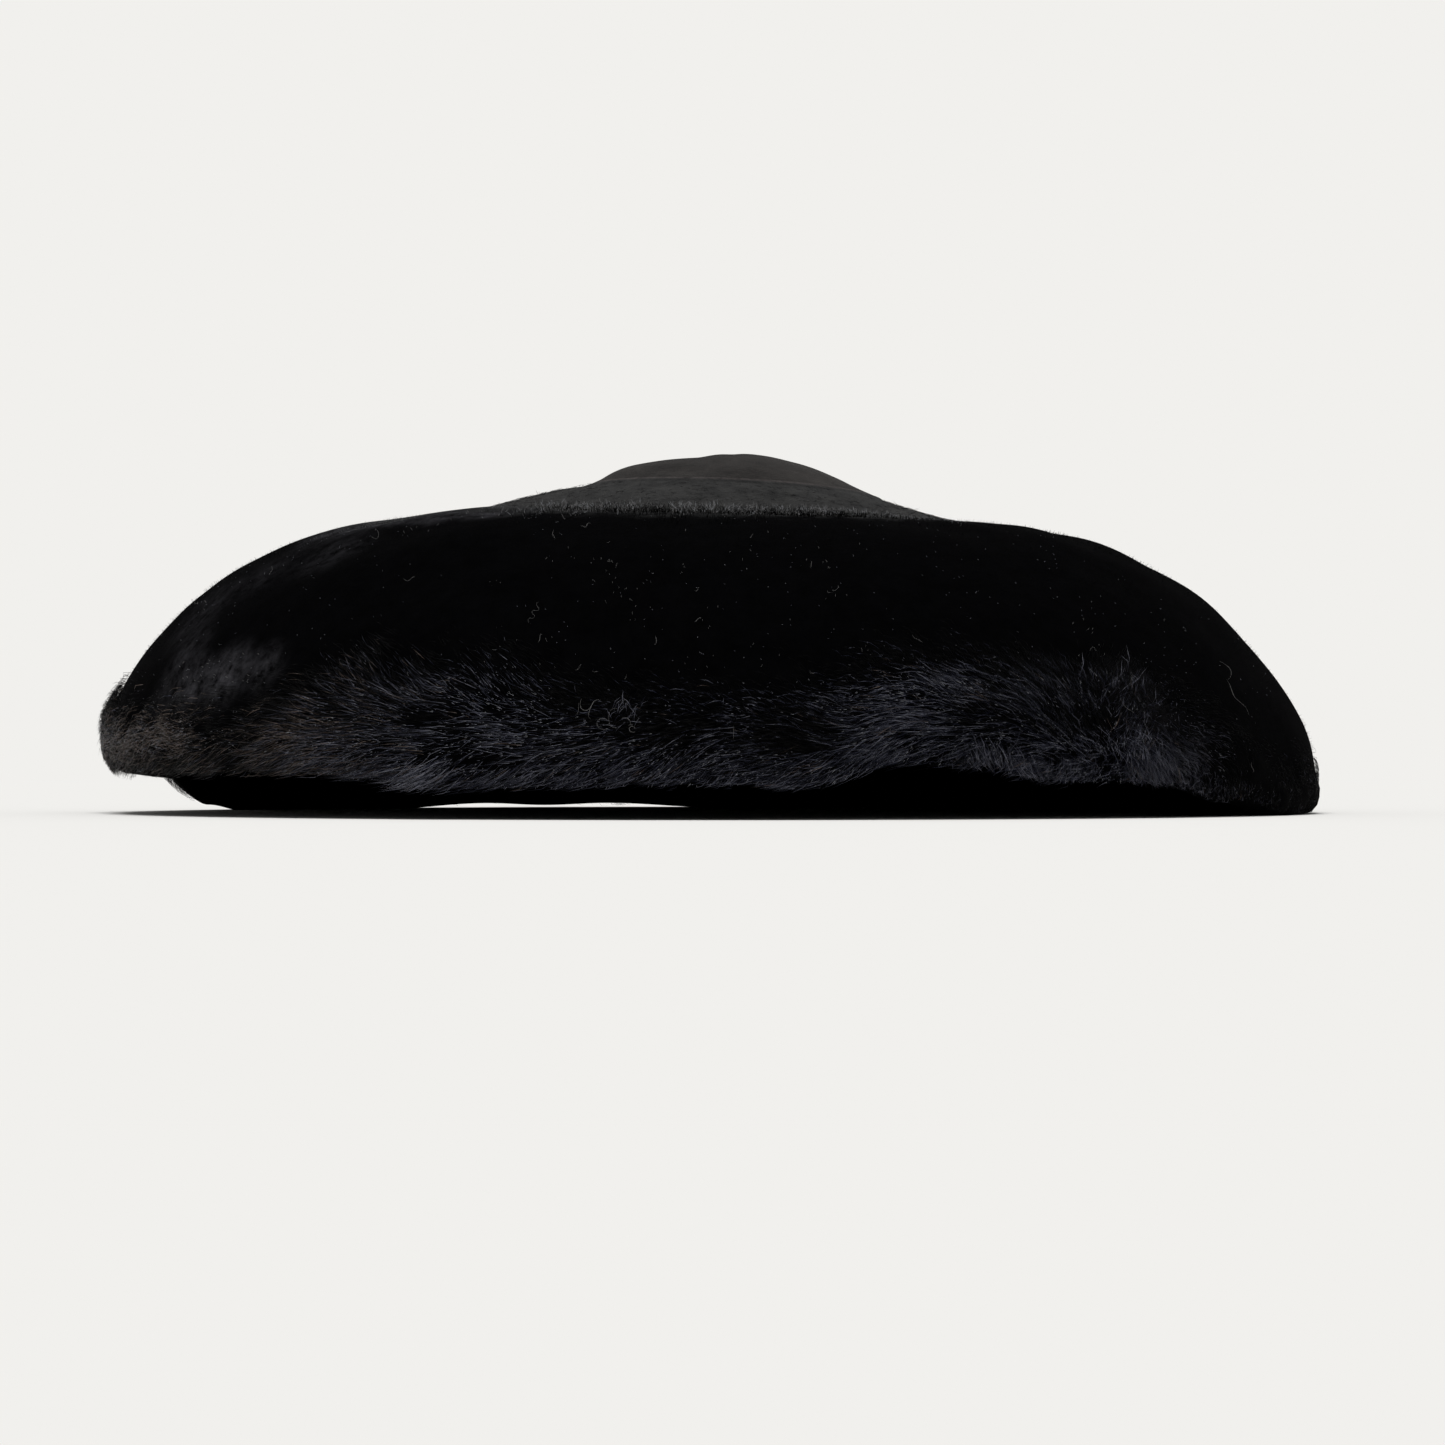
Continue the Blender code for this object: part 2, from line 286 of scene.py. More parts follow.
# Groups of specks on the coat, in pixels of the photograph, and how many there are in each
Cluster = namedtuple("Cluster", "photo_x photo_y half_width half_height count")
CLUSTERS = [Cluster(*row) for row in (
    (602, 574, 16, 12, 8),
    (622, 596, 16, 14, 9),
    (640, 616, 12, 8, 5),
    (560, 563, 15, 13, 4),
    (680, 575, 5, 8, 3),
    (708, 622, 10, 14, 6),
    (832, 594, 14, 9, 5),
    (818, 566, 12, 8, 3),
    (868, 652, 7, 9, 5),
    (494, 587, 7, 4, 5),
    (520, 650, 42, 22, 16),
    (740, 650, 60, 28, 10),
    (199, 608, 9, 5, 5),
    (222, 669, 40, 15, 20),
    (1120, 640, 50, 22, 10),
    (700, 545, 160, 20, 12),
)]

# The knot of curls in the fur
KNOT = Cluster(photo_x=612, photo_y=721, half_width=23, half_height=14, count=7)

# Where the fur's undercoat stands out at the two ends
Puff = namedtuple("Puff", "azimuth height thickness spread_turn spread_height")
PUFFS = (
    Puff(88, 0.032, 0.003, 26, 0.016),
    Puff(-92, 0.027, 0.0055, 13, 0.017),
)

# Where the pile starts: its distance from a middle left of the hat's, how ragged its edge is and how far it
# takes to close, with the sheen of the flank above it. There a band of painted sheen in the felt's grey is
# mixed into the pile's colour
PILE_START = 0.123
PILE_START_SHIFT = 0.016
PILE_START_RAGGED = 0.044
PILE_START_REACH = 0.025
FLANK_SHEEN = 0.11

# The fringe of standing pile along the shoulder is narrower round this azimuth
NARROW_TURN = radians(23)
NARROW_SPREAD = radians(9)
NARROW_SHARE = 0.4

# The heights of the combing's three turns, and how far the fur hangs out of the upright
LOW_HEIGHT = 0.002
PARTING_HEIGHT = 0.014
TOP_HEIGHT = 0.038
HANG_TURN = radians(14)

# How many hairs there are, how far they scatter in a clump, where they bend, how deep standing hairs
# are rooted, and how far all of them stay off the floor
CLUMP_COUNT = 11800
HAIRS_PER_CLUMP = 13
CLUMP_SPREAD = 0.0034
FUR_SECTORS = 5
NAP_COUNT = 12000
FRINGE_LIGHT_COUNT = 11500
FRINGE_DARK_COUNT = 8500
FLANK_FIBRE_COUNT = 5200
PAINTED_GLINTS_TRIED = 60000
BEND_AT = 0.45
ROOT_DEPTH = 0.0003
FLOOR_CLEARANCE = 0.0004

# The felts: the two colours of their mottles, gloss, sheen, and the sizes of mottles, of matted fibres
# and of their bumps
WHITE = (1.0, 1.0, 1.0)
Felt = namedtuple("Felt", "name dark light specular sheen sheen_tint mottle_size grain_size bump_height")
CROWN_FELT = Felt("crown_felt", (0.005, 0.0046, 0.0045), (0.0265, 0.024, 0.0225), 0.05, 0.14,
                  (1.0, 0.96, 0.94), 0.016, 0.0011, 0.0007)
# Painted highlight: a lighter felt for the crown's foot and edge, whose faces turn from the light, so a light
# line shows there
CROWN_EDGE_PAINTED_HIGHLIGHT = Felt("crown_edge_painted_highlight", (0.016, 0.0142, 0.014), (0.058, 0.0515, 0.0505), 0.06, 0.17,
                  (1.0, 0.95, 0.94), 0.004, 0.0011, 0.0003)
FLANK = Felt("flank_felt", (0.005, 0.0049, 0.0048), (0.03, 0.0295, 0.0285), 0.05, FLANK_SHEEN,
             (0.97, 0.98, 1.0), 0.008, 0.0014, 0.0009)
PILE_BASE = Felt("pile_base", (0.0004, 0.0004, 0.0005), (0.0012, 0.0012, 0.0015), 0.01, 0.004,
                 (0.92, 0.95, 1.0), 0.008, 0.0014, 0.0008)
# The colour of the painted sheen patches, and the dark and light of the painted sheen band at the roll's top
PAINTED_SHEEN_COLOUR = (0.05, 0.049, 0.055, 1.0)
PAINTED_SHEEN_BAND_DARK = (0.009, 0.0088, 0.0086, 1.0)
PAINTED_SHEEN_BAND_LIGHT = (0.029, 0.0285, 0.028, 1.0)

# What all felt shares, with the scales and ranges of the noise that mottles it and breaks up its painted
# sheen
FELT_ROUGHNESS = 0.9
FELT_SHEEN_ROUGHNESS = 0.45
BUMP_STRENGTH = 0.6
MOTTLE_RANGE = (0.34, 0.66)
PAINTED_SHEEN_NOISE_SCALE = 190.0
PAINTED_SHEEN_NOISE_RANGE = (0.36, 0.64)
PILE_NOISE_SCALE = 125.0

# The hairs' finishes, in the order of their slots
Finish = namedtuple("Finish", "name colour roughness specular sheen sheen_roughness tint",
                    defaults=(0.0, 0.5, WHITE))
FINISHES = (
    Finish("hair_black", (0.0006, 0.0006, 0.0008), 0.45, 0.06),
    Finish("hair_blue_black", (0.003, 0.0032, 0.0105), 0.28, 0.6, tint=(0.72, 0.77, 1.0)),
    Finish("hair_brown_black", (0.034, 0.0215, 0.0155), 0.36, 0.6, tint=(1.0, 0.86, 0.78)),
    # Pale hair tips: a painted glint
    Finish("hair_tip_painted_glint", (0.086, 0.09, 0.124), 0.34, 0.6),
    Finish("pile_black", (0.0006, 0.0006, 0.0008), 0.7, 0.015),
    # Painted glints: bright colours standing in for light caught by the hairs
    Finish("bright_painted_glint", (0.26, 0.27, 0.29), 0.4, 0.6),
    Finish("painted_glint", (0.164, 0.168, 0.212), 0.3, 0.8),
    Finish("lint", (0.27, 0.265, 0.26), 0.6, 0.3),
    # Pale brown hair tips: the hair's own brown with a painted glint
    Finish("brown_hair_tip_painted_glint", (0.135, 0.096, 0.076), 0.36, 0.6),
    # Grey fibres on the flank; on the shoulder's fringe the same colour is painted rim light
    Finish("grey_fibre_and_painted_rim_light", (0.076, 0.075, 0.073), 0.6, 0.3),
    # Painted rim light on the tips of the fringe's light hairs
    Finish("fringe_tip_painted_rim_light", (0.18, 0.177, 0.183), 0.4, 0.5),
)
(BLACK, BLUE_BLACK, BROWN_BLACK, PAINTED_GLINT_TIP, PILE_BLACK, BRIGHT_PAINTED_GLINT, PAINTED_GLINT, LINT, BROWN_PAINTED_GLINT_TIP, GREY_FIBRE_AND_PAINTED_RIM_LIGHT,
 PAINTED_RIM_LIGHT_TIP) = range(len(FINISHES))

# The camera stands where it stood for the photograph, level with the rim
CAMERA_PLACE = (0.004, -1.1, 0.012)
CAMERA_PITCH = radians(1.17)
CAMERA_LENS = 71.25
SENSOR_WIDTH = 36.0
PHOTO_SIDE = 1445

# Light and surroundings
BACKDROP_COLOUR = (0.88, 0.871, 0.847, 1.0)
WORLD_LIGHT = 0.3
SUN_SPREAD = radians(35)
SUN_TURN = (radians(12), radians(-6), 0.0)
SUN_LIGHT = 1.0 - WORLD_LIGHT
FLOOR_SIZE = 60.0


def ease(low, high, value):
    """0 below low, 1 above high, and a smooth rise between them."""
    share = np.clip((value - low) / (high - low), 0.0, 1.0)
    return share * share * (3.0 - 2.0 * share)


def between(rise, fall, azimuth):
    """1 between two azimuths, eased to 0 outside them over a pair of degrees at each side."""
    return ease(*np.radians(rise), azimuth) * ease(*np.radians(fall), azimuth)


def unit(vectors):
    return vectors / np.maximum(np.linalg.norm(vectors, axis=-1, keepdims=True), 1e-9)


def bell(offset):
    """1 where the offset is 0, falling smoothly towards 0 on both sides."""
    return np.exp(-offset ** 2)


def spot_share(azimuth, height, row):
    """1 at the middle of a table's spot, falling towards 0 over its spread."""
    turn = (np.degrees(azimuth) - row.azimuth + 180.0) % 360.0 - 180.0
    return np.exp(-((turn / row.spread_turn) ** 2 + ((height - row.height) / row.spread_height) ** 2))


def around(azimuth, column, table=COMBING):
    """A column of a table at any azimuths in radians, eased from one row to the next."""
    turns = np.array([row.azimuth for row in table] + [table[0].azimuth + 360.0])
    values = np.array([getattr(row, column) for row in table] + [getattr(table[0], column)])
    on = np.degrees(azimuth) % 360.0
    index = np.clip(np.searchsorted(turns, on, side="right") - 1, 0, len(table) - 1)
    share = ease(turns[index], turns[index + 1], on)
    return values[index] + (values[index + 1] - values[index]) * share


def waves(azimuth, along, seed, count, turns_high, length_low):
    """A seamless field from -1 to 1: a sum of seeded waves."""
    chance = default_rng(seed)
    total = 0.0
    for _ in range(count):
        turns = chance.integers(2, turns_high)
        pitch = chance.uniform(-1.0, 1.0) * tau / length_low
        total += np.cos(turns * azimuth + pitch * along + chance.uniform(0.0, tau))
    return total / (count / 2.0) ** 0.5 / 1.6


# The felt's form
def flank_height(radius):
    """Felt height on the flank: a flat seat below the crown, then a fall into the shelf."""
    share = np.clip((radius - CROWN_RADIUS) / (ROLL_START - CROWN_RADIUS), 0.0, 1.0)
    return SHELF_TOP + (FLANK_TOP - SHELF_TOP) * (1.0 - share) ** FLANK_EASE


def flank_swell(azimuth, radius):
    """How far the flank swells out left of the crown."""
    return FLANK_SWELL * bell((radius * np.sin(azimuth) - SWELL_X) / SWELL_REACH)


def crown_press(across):
    """How far the crown is pressed up or down, by distance from its middle towards +X."""
    return sum(press.depth * bell((across - press.x) / press.reach) for press in PRESSES)


def felt_profile(curl_turn):
    """Radii and heights along the felt's outer side, from the head hole to a turn of the curl."""
    flank = np.linspace(HEAD_HOLE_RADIUS, ROLL_START, FLANK_POINTS)[:-1]
    turn = np.linspace(0.0, 0.5 * pi, ROLL_POINTS)[:-1]
    roll_out = ROLL_START + (ROLL_REACH - ROLL_START) * np.sin(turn)
    roll_up = CURL_RADIUS + (SHELF_TOP - CURL_RADIUS) * np.cos(turn) ** (2.0 * ROLL_POWER)
    curl = np.linspace(0.0, curl_turn, CURL_POINTS)
    curl_out = ROLL_REACH - CURL_RADIUS + CURL_RADIUS * np.cos(curl)
    curl_up = CURL_RADIUS - CURL_RADIUS * np.sin(curl)
    return np.hstack([[flank, flank_height(flank)], [roll_out, roll_up], [curl_out, curl_up]])


def warp(azimuth, radius, height):
    """Points of the turned brim on the real one: crown shift, leans, shelf heights, rim wave."""
    centred = 1.0 - ease(CROWN_RADIUS, ROLL_START, radius)
    lean = BRIM_LEAN + (CROWN_LEAN - BRIM_LEAN) * centred
    x = radius * np.sin(azimuth) + CROWN_SHIFT * centred
    y = -radius * np.cos(azimuth)
    up_share = np.clip(height / SHELF_TOP, 0.0, 1.0)
    top_change = around(azimuth, "shelf_offset", SECTIONS) * (1.0 - centred) - lean * x
    z = height + top_change * up_share + around(azimuth, "rim_height", SECTIONS) * (1.0 - up_share)
    return np.stack([x, y, z], axis=-1)


class Support:
    """The felt's outer side, by azimuth and distance along the profile; past its end it goes on straight."""

    def __init__(self, curl_turn, puffs=()):
        self.puffs = puffs
        self.radius, self.height = felt_profile(curl_turn)
        steps = np.diff([self.radius, self.height])
        lengths = np.hypot(*steps)
        self.along = np.append(0.0, np.cumsum(lengths))
        self.roll_start = self.along[FLANK_POINTS - 1]
        self.end_out, self.end_up = steps[:, -1] / lengths[-1]

    def point(self, azimuth, along):
        radius = np.interp(along, self.along, self.radius)
        height = np.interp(along, self.along, self.height)
        past = np.maximum(along - self.along[-1], 0.0)
        for puff in self.puffs:
            radius = radius + puff.thickness * spot_share(azimuth, height, puff)
        return warp(azimuth, radius + past * self.end_out, height + past * self.end_up)

    def normal(self, azimuth, along):
        down = self.point(azimuth, along + NORMAL_STEP) - self.point(azimuth, along - NORMAL_STEP)
        across = self.point(azimuth + NORMAL_TURN, along) - self.point(azimuth - NORMAL_TURN, along)
        return unit(np.cross(down, across))

    def raised(self, azimuth, along, rise):
        return self.point(azimuth, along) + self.normal(azimuth, along) * np.asarray(rise)[..., None]

    def along_at_height(self, height):
        """The distance along the roll at which the turned profile has a height."""
        return np.interp(-height, -self.height[FLANK_POINTS:], self.along[FLANK_POINTS:])


class Coat(Support):
    """The surface that the fur follows: straight down at the front and tucked in at the ends."""

    def point(self, azimuth, along):
        tuck = around(azimuth, "tuck")[..., None]
        return super().point(azimuth, along) * (1.0 - tuck) + FELT.point(azimuth, along) * tuck

    def along_at(self, height):
        """The distance along the coat at a height, also below the rim."""
        low = self.height[-1]
        return self.along_at_height(np.maximum(height, low)) + np.maximum(low - height, 0.0)

    def height_at(self, along):
        return np.interp(along, self.along, self.height) - np.maximum(along - self.along[-1], 0.0)


# How far the solids were moved to bring their box's middle to the origin
crown_low, crown_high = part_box("crown")
SHIFT = np.array([(crown_low.x + crown_high.x) / 2.0 - CROWN_SHIFT, (crown_low.y + crown_high.y) / 2.0, 0.0])

FELT = Support(CURL_TURN, PUFFS)
INSIDE = Support(CURL_TURN)
FUR = Coat(HANG_TURN, PUFFS)


# Meshes
def new_object(data, materials=()):
    for made in materials:
        data.materials.append(made)
    piece = bpy.data.objects.new(data.name, data)
    bpy.context.scene.collection.objects.link(piece)
    return piece


def add_to_coat(mesh):
    piece = new_object(mesh, HAIRS)
    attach(piece, "root")


def mesh_from_arrays(name, points, corners, totals, slots):
    """A smooth mesh from points, all faces' corners in a row, and each face's count of them and slot."""
    mesh = bpy.data.meshes.new(name)
    mesh.vertices.add(len(points))
    mesh.vertices.foreach_set("co", points.astype(np.float32).ravel())
    mesh.loops.add(len(corners))
    mesh.loops.foreach_set("vertex_index", corners.astype(np.int32))
    mesh.polygons.add(len(totals))
    mesh.polygons.foreach_set("loop_start", (np.cumsum(totals) - totals).astype(np.int32))
    mesh.polygons.foreach_set("material_index", slots.astype(np.int32))
    mesh.polygons.foreach_set("use_smooth", np.ones(len(totals), bool))
    mesh.update(calc_edges=True)
    return mesh


def ring_grid(rows, steps, closed):
    """Quads between rows of points in rings, also from the last to the first if closed."""
    ring = np.arange(rows * steps).reshape(rows, steps)
    following = np.roll(ring, -1, axis=0)
    quads = np.stack([ring, following, np.roll(following, -1, axis=1), np.roll(ring, -1, axis=1)], axis=-1)
    return quads[:rows if closed else -1].reshape(-1, 4)


# The sides of a strand, from corner to corner
SIDES = ((0, 1), (1, 2), (2, 0))


def strand_sides(direction):
    """Three directions at right angles to each strand, a third of a turn apart."""
    helper = np.where(np.abs(direction[:, 2:3]) < 0.9, [[0.0, 0.0, 1.0]], [[1.0, 0.0, 0.0]])
    across = unit(np.cross(direction, helper))
    beside = np.cross(direction, across)
    turns = (np.arange(3) * tau / 3.0)[None, :, None]
    return across[:, None, :] * np.cos(turns) + beside[:, None, :] * np.sin(turns)


def add_hairs(name, path, widths, slots, tip_slots):
    """A piece of closed three-sided hairs; the path holds their roots, middles if they bend, and tips."""
    rings = [place[:, None, :] + strand_sides(unit(after - path[0])) * (girth * widths)[:, None, None]
             for place, after, girth in zip(path, path[1:], (0.5, 0.4))]
    points = np.concatenate([*rings, path[-1][:, None, :]], axis=1)
    last = 3 * len(rings) - 3
    faces = [(0, 2, 1)]
    for low in range(0, last, 3):
        faces += [(low + side, low + beside, low + beside + 3, low + side + 3) for side, beside in SIDES]
    faces += [(last + side, last + beside, last + 3) for side, beside in SIDES]
    corners = (np.arange(len(points))[:, None] * points.shape[1] + np.concatenate(faces)).ravel()
    totals = np.tile([len(face) for face in faces], len(points))
    face_slots = np.stack([slots] * (len(faces) - 3) + [tip_slots] * 3, axis=1).ravel()
    add_to_coat(mesh_from_arrays(name, points.reshape(-1, 3), corners, totals, face_slots))


def tube(path, width):
    """Points and faces of a closed three-sided tube along a path, pointed at both ends."""
    steps = len(path)
    heading = unit(np.gradient(path, axis=0))
    girth = 0.5 * width * np.sqrt(np.sin(np.linspace(0.15, pi - 0.15, steps)))
    rings = path[:, None, :] + strand_sides(heading) * girth[:, None, None]
    ends = (path[:1] - heading[:1] * width, path[-1:] + heading[-1:] * width)
    faces = list(np.roll(ring_grid(steps, 3, closed=False)[:, ::-1], 1, axis=1))
    last = (steps - 1) * 3
    for side, beside in SIDES:
        faces.append((steps * 3, beside, side))
        faces.append((steps * 3 + 1, last + side, last + beside))
    return np.concatenate([rings.reshape(-1, 3), *ends]), faces


def above_floor(points):
    """The points, with those that would lie below the floor laid on it and pushed outward."""
    sunk = np.maximum(FLOOR_CLEARANCE - points[..., 2:], 0.0)
    points[..., :2] += unit(points[..., :2]) * sunk * 0.6
    points[..., 2] = np.maximum(points[..., 2], FLOOR_CLEARANCE)
    return points


# Materials
def set_inputs(node, inputs):
    """Sets a node's inputs to values, or joins them to other nodes' outputs."""
    for socket, value in inputs.items():
        if isinstance(value, bpy.types.NodeSocket):
            node.id_data.links.new(value, node.inputs[socket])
        else:
            node.inputs[socket].default_value = value


def add_node(owner, kind, inputs, **settings):
    node = owner.node_tree.nodes.new("ShaderNode" + kind)
    for name, value in settings.items():
        setattr(node, name, value)
    set_inputs(node, inputs)
    return node


def plain_material(name, colour, roughness, specular, sheen=0.0, sheen_roughness=0.5, tint=WHITE):
    made = bpy.data.materials.new(name)
    made.use_nodes = True
    made.diffuse_color = (*colour, 1.0)
    set_inputs(made.node_tree.nodes["Principled BSDF"], {
        "Base Color": (*colour, 1.0), "Roughness": roughness, "Specular IOR Level": specular,
        "Specular Tint": (*tint, 1.0), "Sheen Weight": sheen, "Sheen Roughness": sheen_roughness})
    return made


HAIRS = [plain_material(*finish) for finish in FINISHES]


def noise_share(made, place, scale, detail=6.0, roughness=0.7):
    inputs = {"Vector": place, "Scale": scale, "Detail": detail, "Roughness": roughness}
    return add_node(made, "TexNoise", inputs).outputs["Fac"]


def ranged(made, value, low, high, top=1.0, easing="SMOOTHSTEP"):
    """0 where a value is at low, rising to top where it is at high."""
    inputs = {"Value": value, "From Min": low, "From Max": high, "To Max": top}
    return add_node(made, "MapRange", inputs, interpolation_type=easing).outputs["Result"]


def mixed(made, share, first, second):
    """Two colours, mixed by the second one's share."""
    inputs = {"Factor": share, "A": first, "B": second}
    return add_node(made, "Mix", inputs, data_type="RGBA").outputs["Result"]


def painted_sheen_share(made, place, sheen_patch):
    """A painted sheen patch's share: none at its reach, and broken up by noise."""
    centre = FELT.point(np.radians([sheen_patch.azimuth]), FELT.along_at_height(np.array([sheen_patch.height])))[0] + SHIFT
    away = add_node(made, "VectorMath", {0: place, 1: centre}, operation="DISTANCE").outputs["Value"]
    spread = ranged(made, away, sheen_patch.reach, 0.0, sheen_patch.strength)
    wisps = ranged(made, noise_share(made, place, PAINTED_SHEEN_NOISE_SCALE), *PAINTED_SHEEN_NOISE_RANGE, easing="LINEAR")
    return add_node(made, "Math", {0: spread, 1: wisps}, operation="MULTIPLY").outputs["Value"]


def painted_sheen_band_share(made, place):
    """The share of painted sheen in the felt's grey: full at the roll's top, none further down."""
    middle = SHIFT - (PILE_START_SHIFT, 0.0, 0.0)
    centred = add_node(made, "VectorMath", {0: place, 1: middle}, operation="SUBTRACT").outputs["Vector"]
    level = add_node(made, "VectorMath", {0: centred, 1: (1.0, 1.0, 0.0)}, operation="MULTIPLY")
    radius = add_node(made, "VectorMath", {0: level.outputs["Vector"]}, operation="LENGTH").outputs["Value"]
    ragged = {0: noise_share(made, place, PILE_NOISE_SCALE), 1: PILE_START_RAGGED, 2: radius}
    edge = add_node(made, "Math", ragged, operation="MULTIPLY_ADD").outputs["Value"]
    sheen_band_until = PILE_START + 0.5 * PILE_START_RAGGED
    return ranged(made, edge, sheen_band_until + PILE_START_REACH, sheen_band_until)


def felt_material(felt, with_painted_sheen=False):
    """Mottled felt; on the pile it gets patches of painted sheen, and a band of painted sheen in the felt's
    grey where the pile starts.
    """
    made = plain_material(felt.name, felt.dark, FELT_ROUGHNESS, felt.specular, felt.sheen,
                          FELT_SHEEN_ROUGHNESS)
    shader = made.node_tree.nodes["Principled BSDF"]
    place = add_node(made, "TexCoord", {}).outputs["Object"]
    mottle = noise_share(made, place, 1.0 / felt.mottle_size, detail=7.0, roughness=0.72)
    contrast = ranged(made, mottle, *MOTTLE_RANGE, easing="LINEAR")
    colour = mixed(made, contrast, (*felt.dark, 1.0), (*felt.light, 1.0))
    if with_painted_sheen:
        # Painted sheen: grey patches mixed into the pile's colour
        for sheen_patch in PAINTED_SHEEN_PATCHES:
            colour = mixed(made, painted_sheen_share(made, place, sheen_patch), colour, PAINTED_SHEEN_COLOUR)
        # Painted sheen: a band in the felt's grey where the pile starts at the roll's top; the material's
        # sheen rises with it
        sheen_band = painted_sheen_band_share(made, place)
        colour = mixed(made, sheen_band, colour, mixed(made, contrast, PAINTED_SHEEN_BAND_DARK, PAINTED_SHEEN_BAND_LIGHT))
        gloss = add_node(made, "Math", {0: sheen_band, 1: FLANK_SHEEN}, operation="MULTIPLY")
        set_inputs(shader, {"Sheen Weight": gloss.outputs["Value"]})
    grain = noise_share(made, place, 1.0 / felt.grain_size, detail=8.0)
    bump = add_node(made, "Bump", {"Strength": BUMP_STRENGTH, "Distance": felt.bump_height, "Height": grain})
    set_inputs(shader, {"Base Color": colour, "Sheen Tint": (*felt.sheen_tint, 1.0),
                        "Normal": bump.outputs["Normal"]})
    return made


# Felt
def build_crown():
    """The crown's dome, with a soft unevenness of the felt."""
    radius = CROWN_RADIUS * np.linspace(0.0, 1.0, CROWN_RINGS)[1:] ** 0.8
    radius[-len(CROWN_EDGE_RINGS):] = CROWN_RADIUS - np.array(CROWN_EDGE_RINGS)
    foot = flank_height(CROWN_RADIUS)
    edge_ease = 1.0 - 0.65 * ease(CROWN_RADIUS - 0.016, CROWN_RADIUS - 0.001, radius)
    edge_ease -= 0.3 * ease(CROWN_RADIUS - CROWN_EDGE_RINGS[0], CROWN_RADIUS, radius)
    dome = foot + CROWN_FOOT_DROP * edge_ease + CROWN_RISE * np.cos(0.5 * pi * radius / CROWN_RADIUS)
    inner = radius[::-1] * (CROWN_RADIUS - WALL) / CROWN_RADIUS
    out_radius = np.hstack([radius, CROWN_RADIUS, inner])[:, None]
    out_height = np.hstack([dome, foot, foot, dome[-2::-1] - WALL])[:, None]
    azimuth = np.linspace(0.0, tau, CROWN_STEPS, endpoint=False)[None, :]
    uneven = waves(azimuth, out_radius, seed=3, count=14, turns_high=9, length_low=0.03) * CROWN_UNEVEN
    uneven *= ease(CROWN_RADIUS, CROWN_RADIUS - 0.012, out_radius) * ease(0.0, 0.03, out_radius)
    pressed = crown_press(out_radius * np.sin(azimuth))
    pressed *= ease(CROWN_RADIUS, CROWN_RADIUS - 0.01, out_radius)
    rings = warp(azimuth, out_radius, out_height + (uneven + pressed)).reshape(-1, 3)
    top = warp(np.zeros(1), np.zeros(1), foot + CROWN_FOOT_DROP + CROWN_RISE + crown_press(np.zeros(1)))
    points = np.concatenate([rings, top, top - [[0.0, 0.0, WALL]]]) + SHIFT
    quads = ring_grid(len(out_radius), CROWN_STEPS, closed=False)
    ring = np.arange(CROWN_STEPS)
    beside = (ring + 1) % CROWN_STEPS
    tip = 0 * ring + len(rings)
    last = len(rings) - CROWN_STEPS
    caps = [[tip, ring, beside], [tip + 1, last + beside, last + ring]]
    corners = np.hstack([quads.ravel(), np.swapaxes(caps, 1, 2).ravel()])
    totals = np.repeat([4, 3], [len(quads), 2 * CROWN_STEPS])
    row = np.arange(len(totals)) // CROWN_STEPS
    # The crown's last rows take the felt with the painted highlight
    slots = np.where((row >= CROWN_RINGS - CROWN_PAINTED_HIGHLIGHT_ROWS) & (row < CROWN_RINGS), 1, 0)
    mesh = mesh_from_arrays("crown_felt", points, corners, totals, slots)
    piece = new_object(mesh, [felt_material(CROWN_FELT), felt_material(CROWN_EDGE_PAINTED_HIGHLIGHT)])
    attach(piece, "root")
    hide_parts("crown")


def fur_share(azimuth, height):
    """1 in the long fur, 0 above it, with a ragged upper edge."""
    top = around(azimuth, "fur_top")
    ragged = waves(azimuth, height, seed=11, count=24, turns_high=70, length_low=0.03) * 0.004
    return ease(top + 0.012 + ragged, top - 0.008 + ragged, height)


